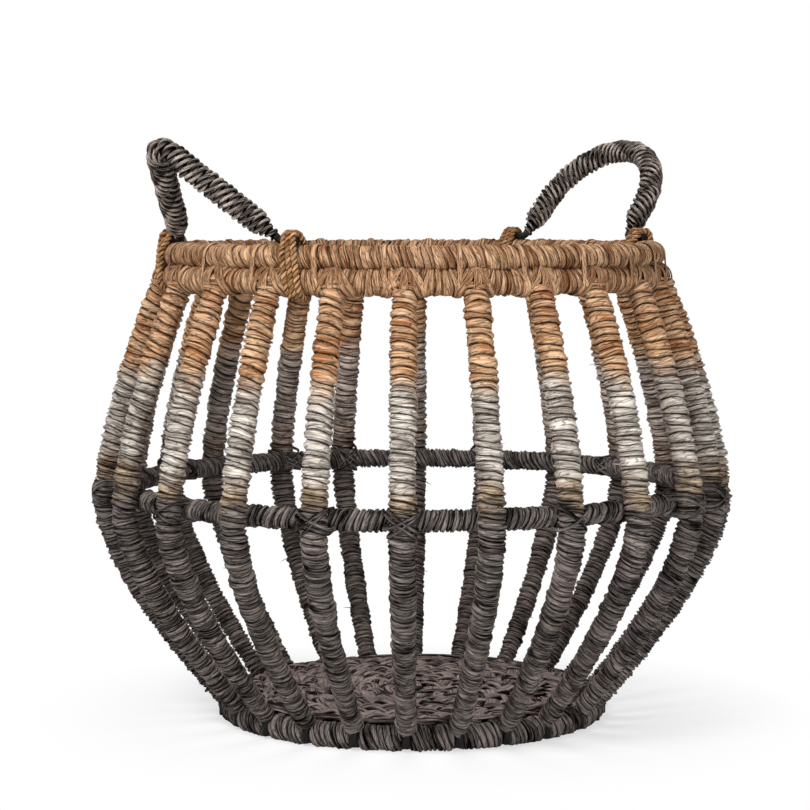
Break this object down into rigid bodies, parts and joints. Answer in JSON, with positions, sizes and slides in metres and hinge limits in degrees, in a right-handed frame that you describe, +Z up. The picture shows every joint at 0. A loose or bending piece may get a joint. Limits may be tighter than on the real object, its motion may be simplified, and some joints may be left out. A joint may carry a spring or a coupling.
{
  "type": "onion basket",
  "caption": "Open onion-shaped storage basket with bark-wrapped ribs, a double rim, a belly hoop, a woven base and two lashed rope-wrapped handles.",
  "frame": {"origin": "middle of the base, on the surface the basket stands on", "axes": "+Z up out of the mouth; the two handles stand over the -X (left) and +X (right) sides of the rim"},
  "size_m": [0.5002, 0.499, 0.4566],
  "materials": {
    "rib_bark": "bark strip wound on a rod, tan at the top through silver grey to near black",
    "rim_bark": "broad flat tan bark strip, matt",
    "dark_bark": "dark stained twisted bark cord, matt",
    "mat_weave": "plaited dark brown grey bark, matt",
    "handle_cord": "dark grey twisted cord, matt",
    "black_iron": "black painted round rod, satin",
    "tan_rope": "tan three-strand twisted rope"
  },
  "bodies": {
    "cage": {"rib_01": "rib_bark", "rib_02": "rib_bark", "rib_03": "rib_bark", "rib_04": "rib_bark", "rib_05": "rib_bark", "rib_06": "rib_bark", "rib_07": "rib_bark", "rib_08": "rib_bark", "rib_09": "rib_bark", "rib_10": "rib_bark", "rib_11": "rib_bark", "rib_12": "rib_bark", "rib_13": "rib_bark", "rib_14": "rib_bark", "rib_15": "rib_bark", "rib_16": "rib_bark", "rib_17": "rib_bark", "rib_18": "rib_bark", "rib_19": "rib_bark", "rib_20": "rib_bark", "rib_21": "rib_bark", "rib_22": "rib_bark", "rib_23": "rib_bark", "rib_24": "rib_bark", "lower_rim_ring": "rim_bark", "upper_rim_ring": "rim_bark", "belly_hoop": "dark_bark", "base_ring": "dark_bark", "base_mat": "mat_weave", "lashing_left_front": "tan_rope", "lashing_left_rear": "tan_rope", "lashing_right_front": "tan_rope", "lashing_right_rear": "tan_rope"},
    "left_handle": {"left_handle_rod": "black_iron", "left_handle_wrap": "handle_cord"},
    "right_handle": {"right_handle_rod": "black_iron", "right_handle_wrap": "handle_cord"}
  },
  "joints": [
    {"name": "left_handle_tilt", "type": "hinge", "parent": "cage", "child": "left_handle", "pos_m": [-0.1742, 0, 0.37672], "axis": [0, -1, 0], "range_deg": [-128, 32]},
    {"name": "right_handle_tilt", "type": "hinge", "parent": "cage", "child": "right_handle", "pos_m": [0.1742, 0, 0.37672], "axis": [0, 1, 0], "range_deg": [-128, 32]}
  ]
}
